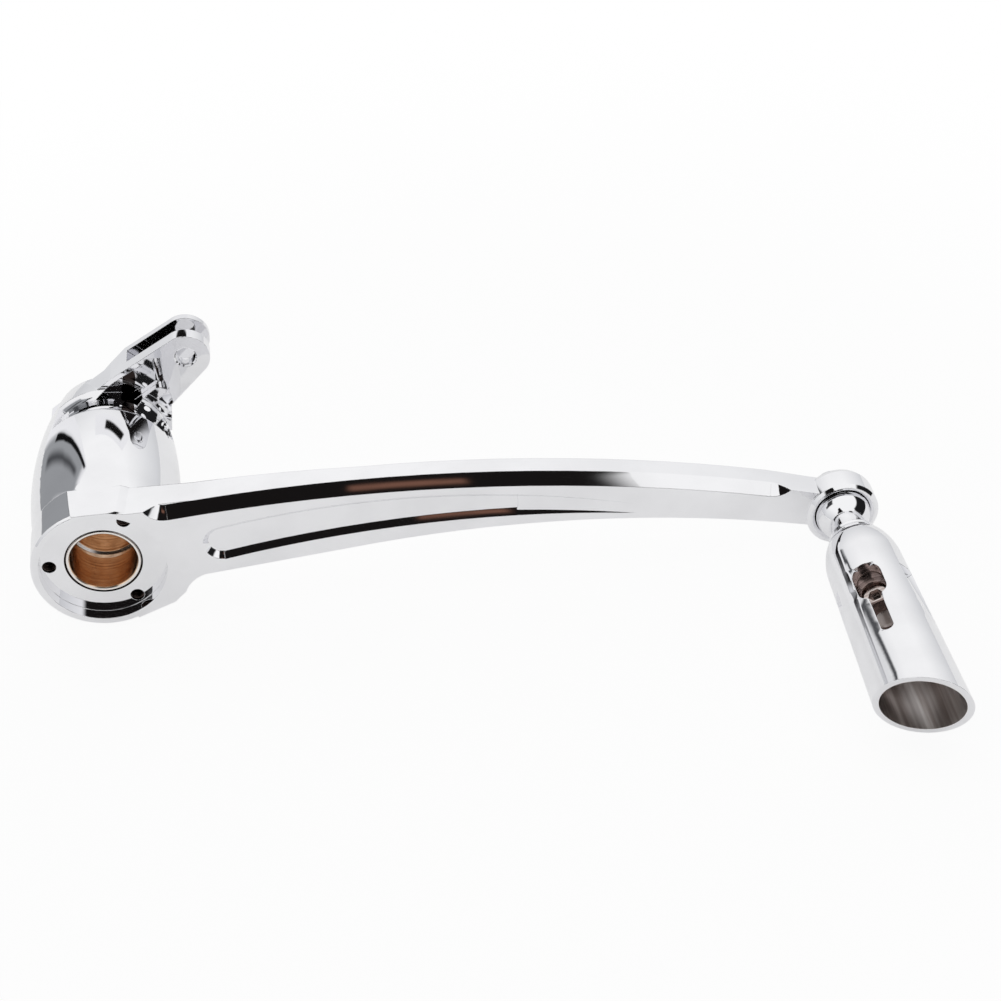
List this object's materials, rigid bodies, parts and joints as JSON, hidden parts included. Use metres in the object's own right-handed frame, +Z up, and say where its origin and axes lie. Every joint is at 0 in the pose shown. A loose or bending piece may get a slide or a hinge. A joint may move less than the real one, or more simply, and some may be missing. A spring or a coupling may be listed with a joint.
{
  "type": "rear brake pedal",
  "caption": "Motorcycle rear brake pedal: arched billet arm with a bushed pivot boss, an inboard clevis lever and a slotted toe peg on a ball mount.",
  "frame": {"origin": "on the pivot axis, at the outer face of the outer bushing, which is the floor of the boss's recess", "axes": "+X from the pivot towards the eye at the arm's far end, +Y along the pivot axis towards the motorcycle, +Z up"},
  "size_m": [0.3305, 0.222, 0.0749],
  "materials": {
    "plated_billet": "bright chrome plate on billet aluminium",
    "chrome": "bright chrome plate on steel",
    "bronze": "turned bronze",
    "dark_steel": "dark steel",
    "bolt_steel": "zinc plate"
  },
  "bodies": {
    "arm": {"brake_arm": "plated_billet", "outer_bushing": "bronze", "inner_bushing": "bronze"},
    "peg": {"ball_stud": "chrome", "toe_peg": "plated_billet", "clamp_barrel": "dark_steel", "peg_clamp_screw": "dark_steel", "peg_mount_bolt": "bolt_steel", "mount_washer": "bolt_steel"}
  },
  "joints": [
    {"name": "peg_swivel", "type": "hinge", "parent": "arm", "child": "peg", "pos_m": [0.2849, -0.0048, -0.0126], "axis": [0, 1, 0], "range_deg": [-180, 180]}
  ]
}
